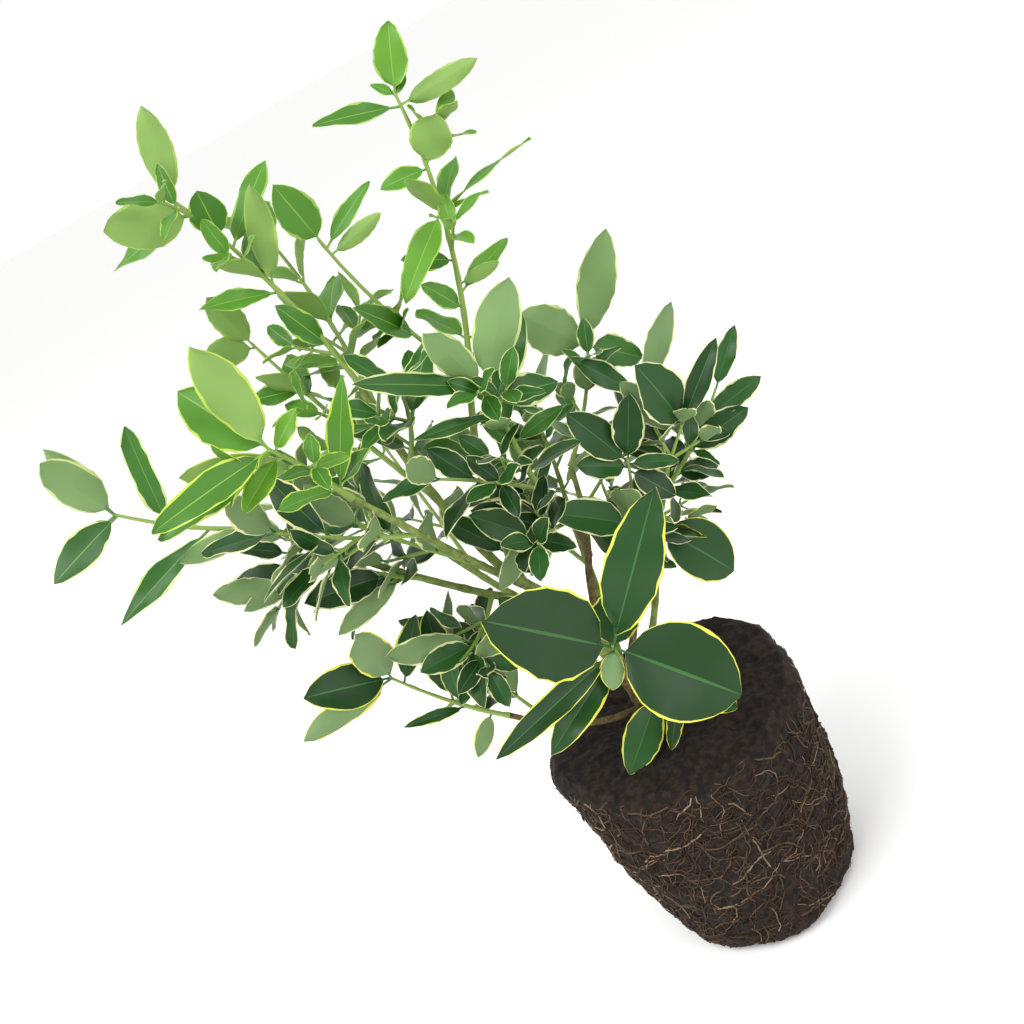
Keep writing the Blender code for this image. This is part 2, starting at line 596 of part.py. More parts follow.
def main():
    clear_scene()
    bark = material("bark", (0.22, 0.20, 0.09), 0.75)
    foliage = material("foliage", (0.06, 0.19, 0.03), 0.4)
    compost = material("compost", (0.02, 0.012, 0.008), 0.95)
    root_ball(compost)
    stems = grown_stems()
    shapes, trees = {}, {}
    for row in (*LIMBS, *SHOOTS):
        stem = stems[row.name]
        sides = LIMB_SIDES if row in LIMBS else TWIG_SIDES
        shapes[row.name] = stem_shape(stem, stems.get(row.parent), sides)
        trees[row.name] = tree_of(shapes[row.name])
    soil = tree_of(tube([ball_ring(0, 1, 0), ball_ring(BALL_HEIGHT + RIM_RISE, 60, 0)], Vector(), SOIL))
    for row in LIMBS:
        add_object(row.name, shapes[row.name], bark)
    for row in SHOOTS:
        others = [tree for name, tree in trees.items() if name != row.name]
        mass = Mass(row, stems[row.name], [*others, soil])
        mass.grow()
        trees[row.name + "_leaves"] = tree_of(joined_shape(mass.shapes))
        made = add_object(row.name, shapes[row.name], foliage)
        fuse(made, mass.shapes, foliage)
        drop_scraps(made)


def joined_shape(shapes):
    points, faces = [], []
    for some, theirs in shapes:
        base = len(points)
        points += some
        faces += [tuple(base + i for i in face) for face in theirs]
    return points, faces


if __name__ == "__main__":
    main()
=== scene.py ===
"""Dresses the young evergreen shrub: bark on its limbs, twigs, leaves with pale margins, and its root ball.

Lengths in the tables are in millimetres, as in the part's source, whose rule of growth is written again here.
"""

import json
import math
import random
from collections import namedtuple

import bpy
from mathutils import Matrix, Vector, noise
from mathutils.bvhtree import BVHTree

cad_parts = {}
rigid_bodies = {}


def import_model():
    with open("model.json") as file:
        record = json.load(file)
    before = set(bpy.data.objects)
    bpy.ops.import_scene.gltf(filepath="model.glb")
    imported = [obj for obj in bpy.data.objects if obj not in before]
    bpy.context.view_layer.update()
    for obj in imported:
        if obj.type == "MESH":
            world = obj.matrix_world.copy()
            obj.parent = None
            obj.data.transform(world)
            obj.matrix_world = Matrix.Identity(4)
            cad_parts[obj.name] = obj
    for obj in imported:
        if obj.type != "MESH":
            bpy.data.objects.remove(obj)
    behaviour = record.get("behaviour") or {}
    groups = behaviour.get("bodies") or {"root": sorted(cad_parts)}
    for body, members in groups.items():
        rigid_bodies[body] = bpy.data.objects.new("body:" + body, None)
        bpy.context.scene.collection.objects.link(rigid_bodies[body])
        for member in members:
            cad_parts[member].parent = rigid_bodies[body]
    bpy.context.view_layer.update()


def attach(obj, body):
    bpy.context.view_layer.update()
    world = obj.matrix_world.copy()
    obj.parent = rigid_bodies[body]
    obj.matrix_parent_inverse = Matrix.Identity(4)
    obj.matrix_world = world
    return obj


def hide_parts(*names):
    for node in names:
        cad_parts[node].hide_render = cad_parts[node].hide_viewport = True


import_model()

bl_info = {
    "name": "Evergreen shrub on its root ball",
    "version": (1, 0, 0),
    "blender": (4, 5, 0),
    "location": "View3D > Sidebar > Shrub",
    "description": "Builds the visual model of a young variegated shrub",
    "category": "Object",
}

MM = 0.001
GAP = 0.3  # clearance between neighbouring solids
CLEARANCE = 0.4  # what a leaf keeps from every other solid

# The root ball keeps the taper of the round pot that it grew in.
BALL_HEIGHT = 105.0
BALL_TOP_RADIUS = 57.0
BALL_FOOT_RADIUS = 46.0
BALL_SIDES = 30
BALL_ROUGHNESS = 1.3  # how far its side swells and sinks
RIM_RISE = 3.0  # how far the crumbly rim stands over the soil

# Stems
LIMB_SIDES = 7
TWIG_SIDES = 3
STEP_ALONG = 16.0  # length of one straight stretch of a stem
FLARE = 1.55  # the main stem's foot against its own radius
FLARE_HEIGHT = 5.0
TWIG_TIP_RADIUS = 0.55
TWIG_FOOT_RADIUS = 1.2  # at the most
SPRIG_RADIUS = 0.75

# Leaves: half width as a share of the widest, at places along the blade
LEAF_STATIONS = ((0.36, 0.86), (0.70, 0.84))
LEAF_THICKNESS = 0.028  # of its length, at the midrib
LEAF_ROOT_SINK = 0.15  # how far the root passes the twig's centre line
LEAF_ARCH = 0.12  # how far the tip bends back, as a share of the length
BLADE_START = 0.22  # the petiole's share of the length
ROOT_SHIFT = 0.12  # how far a leaf's root strays from the centre line, so that no two roots coincide
FREE_ROOT = 2.5  # past this distance from its node a leaf keeps clear of all else
LAST_NODE = 0.985
SPRIG_LEAF = 0.62  # a side twig's length against its shoot's longest leaf
SPRIG_FREE = 4.0
SPRIG_SINK = 0.6
LONE_TRIES = (0, 8, -8, 16, -16, 26, -26)  # more or less lean towards the front

# A stem grows from a place along its parent (0 foot, 1 tip) to its own tip, and its middle bows off the
# straight line between them.
Limb = namedtuple("Limb", "name parent place tip bow foot_radius tip_radius")

LIMBS = (
    Limb("main_stem", None, 0.0, (-10, -5, 30), (1, 0, 0), 4.4, 3.6),
    Limb("leader_left", "main_stem", 1.0, (-29, -10, 98), (3, 0, 2), 3.2, 2.1),
    Limb("leader_right", "main_stem", 0.72, (2, -3, 84), (-4, 2, 2), 1.7, 1.5),
    Limb("bough_left", "leader_left", 1.0, (-40, 0, 190), (-4, 2, 0), 1.9, 1.4),
    Limb("bough_tall", "leader_left", 0.88, (0, 4, 178), (-7, 2, -3), 1.6, 1.3),
    Limb("bough_near_left", "leader_left", 0.80, (-58, -60, 175), (2, -4, -3), 1.6, 1.2),
    Limb("bough_far_left", "leader_left", 0.62, (-94, -20, 168), (-1, -2, -3), 1.6, 1.1),
    Limb("bough_low_left", "main_stem", 0.35, (-57, -25, 52), (0, -4, -5), 1.5, 1.1),
    Limb("bough_centre", "leader_right", 1.0, (-3, -24, 132), (3, -3, 0), 1.5, 1.4),
    Limb("bough_inner_right", "leader_right", 0.85, (14, 18, 112), (2, 2, -2), 1.3, 1.1),
    Limb("bough_right", "main_stem", 0.80, (33, -4, 88), (-2, 2, -2), 1.7, 1.3),
    Limb("bough_front", "main_stem", 0.55, (-9, -46, 62), (0, -3, -6), 1.7, 1.4),
    Limb("bough_back", "main_stem", 0.90, (6, 42, 84), (0, 3, -5), 1.7, 1.4),
    Limb("bough_back_left", "leader_left", 0.30, (-54, 42, 108), (0, 4, -6), 1.7, 1.3),
    Limb("bough_back_right", "main_stem", 0.60, (34, 34, 58), (2, 3, -6), 1.7, 1.3),
)

# A shoot is the leafy end of a stem. Pairs of leaves stand along it from `first` to its tip, each pair
# turned a quarter from the last. `turn` is where the first pair points: 0 to front and back, 90 to left and
# right. `width` is a leaf's width against its length, and `sprigs` the number of side twigs.
Shoot = namedtuple("Shoot", "name parent place tip bow first pairs width turn sprigs")

SHOOTS = (
    Shoot("foliage_top", "bough_tall", 1.0, (22, 5, 271), (5, 0, 0), 0.06, (24, 22), 0.42, 50, 0),
    Shoot("foliage_left_top", "bough_left", 1.0, (-61, 0, 277), (3, 0, 2), 0.1, (24, 22), 0.44, 60, 1),
    Shoot(
        "foliage_left_inner", "bough_left", 0.8, (-42, 28, 246), (3, 2, 0),
        0.3, (26, 28, 26, 22), 0.44, 60, 1,
    ),
    Shoot(
        "foliage_left_back", "bough_left", 0.42, (-68, 26, 218), (-3, 3, 4),
        0.25, (24, 26), 0.46, 70, 1,
    ),
    Shoot(
        "foliage_upper_inner", "bough_tall", 0.93, (-26, 12, 240), (-3, 2, 0),
        0.45, (20,), 0.48, 60, 0,
    ),
    Shoot(
        "foliage_upper_middle", "bough_left", 0.62, (-28, -22, 186), (2, -2, 0),
        0.2, (26, 28, 24), 0.44, 60, 1,
    ),
    Shoot(
        "foliage_near_left", "bough_near_left", 1.0, (-67, -88, 210), (0, 0, 2),
        0.15, (20,), 0.42, 80, 0,
    ),
    Shoot(
        "foliage_left_low", "bough_near_left", 0.72, (-86, -54, 176), (0, 0, -2),
        0.3, (28, 30, 26), 0.44, 50, 1,
    ),
    Shoot(
        "foliage_left_middle", "bough_near_left", 0.4, (-66, -24, 152), (-2, 0, 2),
        0.3, (28, 30, 26), 0.42, 40, 1,
    ),
    Shoot("foliage_far_left", "bough_far_left", 1.0, (-135, -20, 200), (0, 0, -3), 0.12, (), 0.46, 20, 0),
    Shoot(
        "foliage_under_left", "bough_far_left", 0.78, (-100, -32, 148), (0, 0, 2),
        0.25, (26, 28), 0.44, 40, 1,
    ),
    Shoot(
        "foliage_low_left", "bough_far_left", 0.5, (-74, -20, 136), (0, -3, 0),
        0.3, (26, 26), 0.46, 60, 1,
    ),
    Shoot("foliage_lowest_left", "bough_low_left", 1.0, (-88, -22, 92), (0, 0, -3), 0.3, (), 0.46, 40, 0),
    Shoot(
        "foliage_lower_left", "bough_low_left", 0.72, (-62, 2, 80), (-2, 2, -2),
        0.35, (28, 30, 24), 0.48, 50, 1,
    ),
    Shoot(
        "foliage_centre_top", "bough_centre", 1.0, (-2, -37, 178), (0, 0, 0),
        0.12, (24, 24), 0.46, 60, 1,
    ),
    Shoot(
        "foliage_centre_left", "bough_centre", 0.9, (-32, -40, 158), (0, -2, 2),
        0.25, (26, 26, 24), 0.42, 50, 1,
    ),
    Shoot(
        "foliage_centre", "bough_centre", 0.5, (-22, -42, 126), (0, 0, -2),
        0.35, (26, 24), 0.46, 60, 1,
    ),
    Shoot(
        "foliage_inner_middle", "leader_left", 0.95, (-20, -30, 140), (0, -3, 2),
        0.3, (26, 26, 22), 0.42, 40, 1,
    ),
    Shoot(
        "foliage_right_middle", "leader_right", 0.62, (32, -16, 118), (5, -1, -6),
        0.35, (24, 22), 0.5, 50, 1,
    ),
    Shoot(
        "foliage_right_back", "bough_inner_right", 1.0, (45, 30, 150), (2, 1, -2),
        0.2, (24, 22), 0.46, 60, 0,
    ),
    Shoot(
        "foliage_right_behind", "bough_inner_right", 0.6, (56, 14, 128), (2, 2, -2),
        0.35, (26, 28, 24), 0.48, 60, 1,
    ),
    Shoot(
        "foliage_right_outer", "bough_right", 1.0, (76, -6, 120), (2, 0, -2),
        0.35, (22, 20), 0.5, 40, 0,
    ),
    Shoot(
        "foliage_right_inner", "bough_right", 0.8, (56, -22, 122), (0, -2, 2),
        0.45, (22,), 0.55, 60, 0,
    ),
    Shoot("foliage_right_low", "bough_right", 0.6, (40, 14, 74), (0, 0, 2), 0.5, (24,), 0.5, 60, 0),
    Shoot("foliage_front", "bough_front", 1.0, (-9, -58, 76), (0, 0, 0), 0.1, (), 0.6, 0, 0),
    Shoot("foliage_foot", "main_stem", 0.35, (10, -32, 22), (0, 0, 3), 0.6, (), 0.42, 50, 0),
    Shoot(
        "foliage_back", "bough_back", 1.0, (16, 76, 138), (2, 3, -2),
        0.15, (32, 34, 32, 26), 0.46, 40, 2,
    ),
    Shoot(
        "foliage_back_inner", "bough_back", 0.7, (-18, 60, 118), (-2, 2, 0),
        0.3, (30, 32, 26), 0.46, 10, 1,
    ),
    Shoot(
        "foliage_back_left", "bough_back_left", 1.0, (-92, 62, 142), (-2, 2, -2),
        0.15, (32, 34, 32, 26), 0.46, 60, 2,
    ),
    Shoot(
        "foliage_back_middle", "bough_back_left", 0.68, (-50, 74, 146), (0, 3, -2),
        0.3, (30, 32, 26), 0.46, 30, 1,
    ),
    Shoot(
        "foliage_back_right", "bough_back_right", 1.0, (56, 52, 84), (2, 0, -3),
        0.15, (30, 30, 26), 0.46, 50, 1,
    ),
    Shoot(
        "foliage_back_low", "bough_back_right", 0.66, (28, 74, 78), (-2, 3, -2),
        0.35, (28, 30, 24), 0.46, 20, 1,
    ),
    Shoot(
        "foliage_middle_left", "bough_far_left", 0.25, (-60, -40, 92), (0, -2, -2),
        0.35, (26, 26), 0.46, 40, 1,
    ),
    Shoot("foliage_heart", "leader_left", 0.4, (-34, -40, 92), (0, -2, -2), 0.45, (26, 24), 0.46, 60, 0),
)

# Leaves that stand out one by one: place along the shoot, lean from upright (to the right), lean towards
# the front, length, width against the length, and the side that it turns to the front: 1 its upper side, -1
# its underside, 0 neither.
LONE_LEAVES = {
    "foliage_top": (
        (1.00, 22, 10, 23, 0.50, 1), (0.98, 50, 0, 8, 0.5, 1), (0.98, -37, 0, 9, 0.4, 1),
        (0.94, -70, 10, 31, 0.24, 1), (0.94, 90, 0, 30, 0.26, -1), (0.71, 35, 25, 20, 0.72, -1),
        (0.70, -80, 0, 18, 0.45, 1), (0.53, 75, -10, 42, 0.12, 0), (0.53, 86, 10, 18, 0.3, 0),
        (0.54, -119, 35, 38, 0.28, 1), (0.35, -54, 15, 20, 0.45, 1), (0.26, 88, 10, 17, 0.3, -1),
        (0.23, 71, -15, 28, 0.26, 1), (0.17, -27, 10, 18, 0.45, 1),
    ),
    "foliage_left_top": (
        (1.00, 15, 0, 31, 0.34, -1), (0.90, -70, 15, 30, 0.52, -1), (0.92, -95, -15, 36, 0.22, 1),
        (0.77, 5, 10, 17, 0.74, 1), (0.50, 20, 10, 37, 0.26, -1), (0.71, 49, -15, 33, 0.28, 1),
        (0.47, -66, 15, 28, 0.26, 1), (0.19, -18, 15, 24, 0.38, 1),
    ),
    "foliage_upper_inner": (
        (1.00, -8, 20, 26, 0.54, 1), (0.94, 60, 0, 28, 0.24, 1), (0.90, 79, 10, 24, 0.26, -1),
        (0.31, -25, 20, 33, 0.30, 1),
    ),
    "foliage_left_back": (
        (1.00, -9, 15, 27, 0.42, -1), (0.97, -64, 20, 20, 0.54, -1),
        (0.67, -66, 10, 20, 0.4, 1),
    ),
    "foliage_near_left": (
        (1.00, -1, 10, 39, 0.34, -1), (0.97, -28, -15, 32, 0.50, 1), (1.00, -85, 25, 40, 0.26, 1),
        (0.95, -95, 5, 42, 0.22, 1), (0.92, 51, 15, 15, 0.40, 1), (0.86, -110, 30, 20, 0.40, 1),
        (0.12, 28, 15, 38, 0.22, 1), (0.60, -60, 12, 36, 0.28, -1),
    ),
    "foliage_far_left": (
        (1.00, -12, 15, 33, 0.44, -1), (0.98, -15, -15, 32, 0.30, -1), (0.97, -101, 20, 31, 0.42, 1),
        (0.98, -103, -10, 36, 0.26, 1), (0.67, 10, 0, 37, 0.26, 1), (0.40, -100, 15, 46, 0.20, 1),
        (0.10, -80, 15, 28, 0.30, -1),
    ),
    "foliage_under_left": ((0.48, -87, 20, 28, 0.28, -1), (0.90, -60, 10, 26, 0.36, -1)),
    "foliage_low_left": (
        (1.00, -81, 10, 46, 0.38, -1), (0.60, -63, 25, 32, 0.42, 1), (0.35, -88, 30, 34, 0.24, -1),
    ),
    "foliage_lowest_left": (
        (1.00, -57, 20, 34, 0.50, 1), (0.98, -94, 0, 40, 0.28, -1), (0.97, 0, 5, 36, 0.42, -1),
        (0.89, 37, 0, 28, 0.36, 1), (0.50, 13, -5, 38, 0.36, 1), (0.44, 13, 12, 30, 0.28, 1),
        (0.39, -62, 20, 26, 0.18, 1), (0.17, -129, 15, 18, 0.40, -1),
    ),
    "foliage_centre_top": (
        (1.00, 38, 10, 40, 0.38, -1), (0.98, -17, 20, 35, 0.32, -1), (0.80, 48, -15, 33, 0.34, 1),
        (0.97, -50, 20, 48, 0.18, 1), (0.84, 103, -5, 25, 0.48, 1), (0.72, -67, 20, 33, 0.16, 1),
        (0.42, 81, 0, 22, 0.30, 1), (0.37, -17, 15, 20, 0.30, 1),
    ),
    "foliage_centre": (
        (0.30, -38, 20, 36, 0.40, 1), (0.32, -113, 30, 21, 0.34, -1), (0.67, -117, 10, 22, 0.38, -1),
    ),
    "foliage_right_middle": (
        (1.00, 22, 15, 27, 0.44, 1), (0.95, -51, 10, 21, 0.52, 1), (0.97, 108, 15, 19, 0.34, 1),
        (0.93, 144, 15, 20, 0.55, 1), (0.98, -20, 0, 30, 0.47, 1), (0.61, -38, 25, 40, 0.36, 1),
    ),
    "foliage_right_back": (
        (1.00, 32, 10, 49, 0.30, -1), (0.95, -33, 5, 34, 0.56, -1),
        (0.97, 128, 5, 24, 0.58, 1),
    ),
    "foliage_right_behind": ((0.95, 47, -10, 36, 0.28, -1), (0.90, -29, -5, 34, 0.28, 1)),
    "foliage_right_outer": (
        (1.00, 42, 0, 25, 0.30, 1), (0.75, 76, 10, 27, 0.36, 1), (0.50, 69, 15, 28, 0.44, 1),
        (0.30, 104, 10, 17, 0.56, 1),
    ),
    "foliage_right_inner": (
        (1.00, -10, 20, 33, 0.55, 1), (0.97, 45, 5, 34, 0.26, 1), (0.98, 15, 45, 14, 0.60, -1),
        (0.90, -20, -15, 30, 0.36, -1),
    ),
    "foliage_right_low": ((0.73, 147, 10, 40, 0.62, 1),),
    "foliage_front": (
        (0.95, 36, 10, 62, 0.32, 1), (0.90, -32, 25, 62, 0.50, 1), (1.00, 135, 25, 49, 0.70, 1),
        (0.70, -87, 25, 58, 0.17, 1), (0.50, -102, 30, 44, 0.28, 1), (0.70, 35, -25, 22, 0.80, 1),
        (0.85, -141, 30, 15, 0.60, -1),
    ),
    "foliage_foot": (
        (0.30, -115, 10, 34, 0.45, 1), (0.75, -140, 20, 24, 0.28, 1),
        (1.00, 140, 5, 22, 0.40, 1),
    ),
    "foliage_heart": ((0.60, -40, 20, 22, 0.60, 1), (1.00, -77, 20, 22, 0.42, -1)),
    "foliage_middle_left": ((0.60, -62, 10, 36, 0.30, -1),),
}

FRONT = Vector((0, -1, 0))
OUTLOOK = Vector((0, -0.88, 0.47))  # where a leaf that shows a side turns it: to the front, and a little up
UP = Vector((0, 0, 1))
SOIL = Vector((0, 0, BALL_HEIGHT))
TRIES = ((0, 1.0), (14, 1.0), (-14, 1.0), (28, 0.9), (-28, 0.9), (0, 0.75))  # turn, length share


class Stem:
    """A tapering stem on a quadratic curve, which starts on its parent's centre line."""

    def __init__(self, row, start, foot_radius, tip_radius):
        self.name = row.name
        self.parent = row.parent
        self.place = row.place
        self.start = start
        self.tip = SOIL + Vector(row.tip)
        self.middle = (self.start + self.tip) / 2 + 2 * Vector(row.bow)
        self.radii = (foot_radius, tip_radius)

    def point(self, place):
        back = 1 - place
        return back * back * self.start + 2 * back * place * self.middle + place * place * self.tip

    def direction(self, place):
        return ((1 - place) * (self.middle - self.start) + place * (self.tip - self.middle)).normalized()

    def radius(self, place):
        return self.radii[0] + (self.radii[1] - self.radii[0]) * place

    def length(self):
        steps = 24
        points = [self.point(i / steps) for i in range(steps + 1)]
        return sum((b - a).length for a, b in zip(points, points[1:]))


def frame_round(axis):
    """Two directions square to the axis: the first towards the front, the second to its right."""
    first = FRONT - FRONT.dot(axis) * axis
    if first.length < 0.05:
        first = UP - UP.dot(axis) * axis
    first.normalize()
    return first, axis.cross(first)


def ring(centre, axis, radius, sides):
    first, second = frame_round(axis)
    turns = [2 * math.pi * i / sides for i in range(sides)]
    return [centre + radius * (math.cos(a) * first + math.sin(a) * second) for a in turns]


def slid_to_parent(point, direction, parent, place, clear):
    """How far a point goes along the direction before it is clear of the parent's side."""
    axis = parent.direction(place)
    offset = point - parent.point(place)
    across = offset - offset.dot(axis) * axis
    run = direction - direction.dot(axis) * axis
    reach = parent.radius(place) + clear
    half = across.dot(run)
    return (math.sqrt(half * half - run.length_squared * (across.length_squared - reach * reach)) - half) / (
        run.length_squared
    )


def foot_ring(stem, parent, sides):
    """The first ring of a stem and its centre: a saddle on the parent's side, or flat on the parent's tip."""
    axis = stem.direction(0)
    if stem.place == 1.0:
        level = parent.direction(1)
        centre = stem.start + GAP * level
        return ring(centre, level, stem.radii[0], sides), centre, GAP
    flat = ring(stem.start, axis, stem.radii[0], sides)
    slides = [slid_to_parent(p, axis, parent, stem.place, GAP + 0.05) for p in flat]
    centre = stem.start + slid_to_parent(stem.start, axis, parent, stem.place, GAP + 0.05) * axis
    return [p + s * axis for p, s in zip(flat, slides)], centre, max(slides)


def tube(rings, foot_centre, tip_centre):
    """Vertices and faces of a closed tube, with each end fanned from its centre."""
    sides = len(rings[0])
    points = [p for one in rings for p in one] + [foot_centre, tip_centre]
    faces = []
    for r in range(len(rings) - 1):
        for i in range(sides):
            a, b = r * sides + i, r * sides + (i + 1) % sides
            faces.append((a, b, b + sides, a + sides))
    foot, tip = len(points) - 2, len(points) - 1
    last = (len(rings) - 1) * sides
    for i in range(sides):
        j = (i + 1) % sides
        faces.append((foot, j, i))
        faces.append((tip, last + i, last + j))
    return points, faces


def stem_shape(stem, parent, sides, widen=0.0):
    """The closed tube of a stem, from its seat on the parent to its tip."""
    if parent is None:
        rings = [ring(stem.start, UP, stem.radii[0] * FLARE + widen, sides)]
        foot_centre, seat = stem.start, 0.0
    else:
        first, foot_centre, seat = foot_ring(stem, parent, sides)
        rings = [first]
    length = stem.length()
    begin = (seat + (FLARE_HEIGHT if parent is None else 0.7 * stem.radii[0])) / length
    steps = max(1, round((1 - begin) * length / STEP_ALONG))
    for i in range(steps + 1):
        place = begin + (1 - begin) * i / steps
        rings.append(ring(stem.point(place), stem.direction(place), stem.radius(place) + widen, sides))
    return tube(rings, foot_centre, stem.tip)


def leaf_shape(root, direction, upper, length, width, arch, swell=0.0):
    """A closed lens in the leaf's outline: six points round the edge, one over and one under the midrib."""
    side = direction.cross(upper)
    middle = root + direction * (0.5 * length) - upper * (0.25 * arch * length)
    half_thick = upper * (LEAF_THICKNESS * length / 2 + swell)
    edge = [root - direction * LEAF_ROOT_SINK]
    tip = root + direction * length - upper * (arch * length)
    for along, share in LEAF_STATIONS:
        centre = root + direction * (along * length) - upper * (arch * length * along * along)
        edge.append(centre + side * (width / 2 * share + swell) + upper * (0.05 * width))
    edge.append(tip)
    for along, share in reversed(LEAF_STATIONS):
        centre = root + direction * (along * length) - upper * (arch * length * along * along)
        edge.append(centre - side * (width / 2 * share + swell) + upper * (0.05 * width))
    points = [*edge, middle + half_thick, middle - half_thick]
    faces = []
    for i in range(6):
        j = (i + 1) % 6
        faces.append((6, i, j))
        faces.append((7, j, i))
    return points, faces


def tree_of(shape):
    return BVHTree.FromPolygons(*shape)


class Mass:
    """The foliage of one shoot: a main twig, its side twigs, and their leaves."""

    def __init__(self, row, twig, others):
        self.row = row
        self.twig = twig
        self.others = others
        self.rng = random.Random(row.name)
        self.shapes = []
        self.blades = []
        self.leaves = []
        self.sprigs = []

    def clear_of_others(self, shape):
        tree = tree_of(shape)
        return not any(tree.overlap(other) for other in self.others)

    def clear_of_own(self, tree):
        return not any(tree.overlap(blade) for blade in self.blades)

    def put_leaf(self, node, axis, direction, length, width, shows=0):
        """Adds the leaf where nothing is in its way. Only its petiole may meet the leaves beside it."""
        node = node + Vector([self.rng.uniform(-ROOT_SHIFT, ROOT_SHIFT) for _ in range(3)])
        upper = 0.7 * axis + 0.5 * UP
        if shows:
            upper = 2.2 * shows * OUTLOOK + 0.5 * upper
        upper = (upper - upper.dot(direction) * direction).normalized()

        def part_from(distance, swell):
            share = (length - distance) / length
            root = node + distance * direction
            return leaf_shape(root, direction, upper, length * share, width, LEAF_ARCH, swell)

        if not all(self.clear_of_others(part_from(*some)) for some in ((0, 0), (FREE_ROOT, CLEARANCE))):
            return False
        blade = tree_of(part_from(BLADE_START * length, CLEARANCE / 2))
        if not self.clear_of_own(blade):
            return False
        self.shapes.append(part_from(0, 0))
        self.leaves.append((node, direction, upper, length, width))
        self.blades.append(blade)
        return True

    def leaf_of_pair(self, node, axis, turn, spread, length):
        first, second = frame_round(axis)
        lean = math.radians(spread)
        for extra, share in TRIES:
            angle = math.radians(turn + extra)
            out = math.cos(angle) * first + math.sin(angle) * second
            direction = (math.cos(lean) * axis + math.sin(lean) * out).normalized()
            size = length * share
            if self.put_leaf(node, axis, direction, size, size * self.row.width):
                return

    def lone_leaf(self, place, lean, toward, length, width, shows):
        node, axis = self.twig.point(min(place, LAST_NODE)), self.twig.direction(place)
        for extra in LONE_TRIES:
            side, front = math.radians(lean), math.radians(toward + extra)
            across = math.cos(front)
            direction = Vector((math.sin(side) * across, -math.sin(front), math.cos(side) * across))
            if self.put_leaf(node, axis, direction, length, length * width, shows):
                return

    def sprig(self, node, axis, turn):
        """Adds a side twig from a leaf's axil, with a pair of leaves and a pair at its tip."""
        first, second = frame_round(axis)
        angle = math.radians(turn)
        out = math.cos(angle) * first + math.sin(angle) * second
        direction = (axis + 0.9 * out).normalized()
        length = max(self.row.pairs) * SPRIG_LEAF
        tip = node + direction * length
        end = ring(tip, direction, TWIG_TIP_RADIUS, TWIG_SIDES)
        free = node + direction * SPRIG_FREE
        beyond = tube([ring(free, direction, SPRIG_RADIUS + CLEARANCE, TWIG_SIDES), end], free, tip)
        root = node - direction * SPRIG_SINK
        whole = tube([ring(root, direction, SPRIG_RADIUS, TWIG_SIDES), end], root, tip)
        if not self.clear_of_others(whole) or not self.clear_of_others(beyond):
            return
        if not self.clear_of_own(tree_of(beyond)):
            return
        self.shapes.append(whole)
        self.sprigs.append((root, tip))
        self.blades.append(tree_of(beyond))
        swing = self.rng.uniform(0, 180)
        for side in (0, 180):
            self.leaf_of_pair(node + direction * length * 0.55, direction, swing + side, 52, length)
            self.leaf_of_pair(tip - direction * 0.8, direction, swing + 90 + side, 38, length)

    def grow(self):
        row = self.row
        for leaf in LONE_LEAVES.get(row.name, ()):
            self.lone_leaf(*leaf)
        count = len(row.pairs)
        last = LAST_NODE if row.name not in LONE_LEAVES else (row.first + LAST_NODE) / 2
        nodes = [row.first + (last - row.first) * i / max(1, count - 1) for i in range(count)]
        for i, (place, length) in enumerate(zip(nodes, row.pairs)):
            spread = 62 - 30 * i / max(1, count - 1) + self.rng.uniform(-6, 6)
            turn = row.turn + 90 * i + self.rng.uniform(-8, 8)
            node, axis = self.twig.point(place), self.twig.direction(place)
            for side in (0, 180):
                share = self.rng.uniform(0.88, 1.08)
                self.leaf_of_pair(node, axis, turn + side, spread, length * share)
        for i in range(row.sprigs):
            place = nodes[min(i, count - 1)] + 0.05
            turn = row.turn + 90 * i + 180 * self.rng.randint(0, 1) + 25
            self.sprig(self.twig.point(place), self.twig.direction(place), turn)


def ball_ring(height, radius, rough):
    """One ring of the root ball, swelling and sinking as the pot's ribs and the matted roots leave it."""
    made = []
    for i in range(BALL_SIDES):
        turn = 2 * math.pi * i / BALL_SIDES
        swell = math.sin(3 * turn + height / 19) + 0.6 * math.sin(7 * turn - height / 13)
        reach = radius + rough * swell
        made.append(Vector((reach * math.cos(turn), reach * math.sin(turn), height)))
    return made


def grown_stems():
    """Every stem by name, the limbs and then the shoots' main twigs, each started on its parent."""
    stems = {}
    for row in LIMBS:
        start = SOIL + Vector((-8, -6, GAP)) if row.parent is None else stems[row.parent].point(row.place)
        stems[row.name] = Stem(row, start, row.foot_radius, row.tip_radius)
    for row in SHOOTS:
        parent = stems[row.parent]
        foot = min(parent.radius(row.place) * (1.0 if row.place == 1.0 else 0.72), TWIG_FOOT_RADIUS)
        stems[row.name] = Stem(row, parent.point(row.place), foot, TWIG_TIP_RADIUS)
    return stems


def joined_shape(shapes):
    points, faces = [], []
    for some, theirs in shapes:
        base = len(points)
        points += some
        faces += [tuple(base + i for i in face) for face in theirs]
    return points, faces



# Which pieces the leaves are joined into, and how old each shoot's leaves are
REGIONS = {
    "leaves_top": ("top", "left_top", "left_inner", "left_back", "upper_inner", "upper_middle"),
    "leaves_left": (
        "near_left", "left_low", "left_middle", "far_left", "under_left", "low_left", "lowest_left",
        "lower_left", "middle_left", "heart",
    ),
    "leaves_right": (
        "centre_top", "centre_left", "centre", "inner_middle", "right_middle", "right_back", "right_behind",
        "right_outer", "right_inner", "right_low", "front", "foot",
    ),
    "leaves_back": ("back", "back_inner", "back_left", "back_middle", "back_right", "back_low"),
}
YOUNG = ("top", "left_top", "left_inner", "left_back", "upper_inner", "near_left")
MIDDLING = ("far_left", "upper_middle", "centre_top", "right_back", "back_left", "back")
YELLOW_EDGED = ("front", "right_low", "lowest_left", "near_left", "foot")
EXTRA_SPRIGS = 2
EXTRA_REACH = (0.3, 0.9)  # where along a shoot they stand
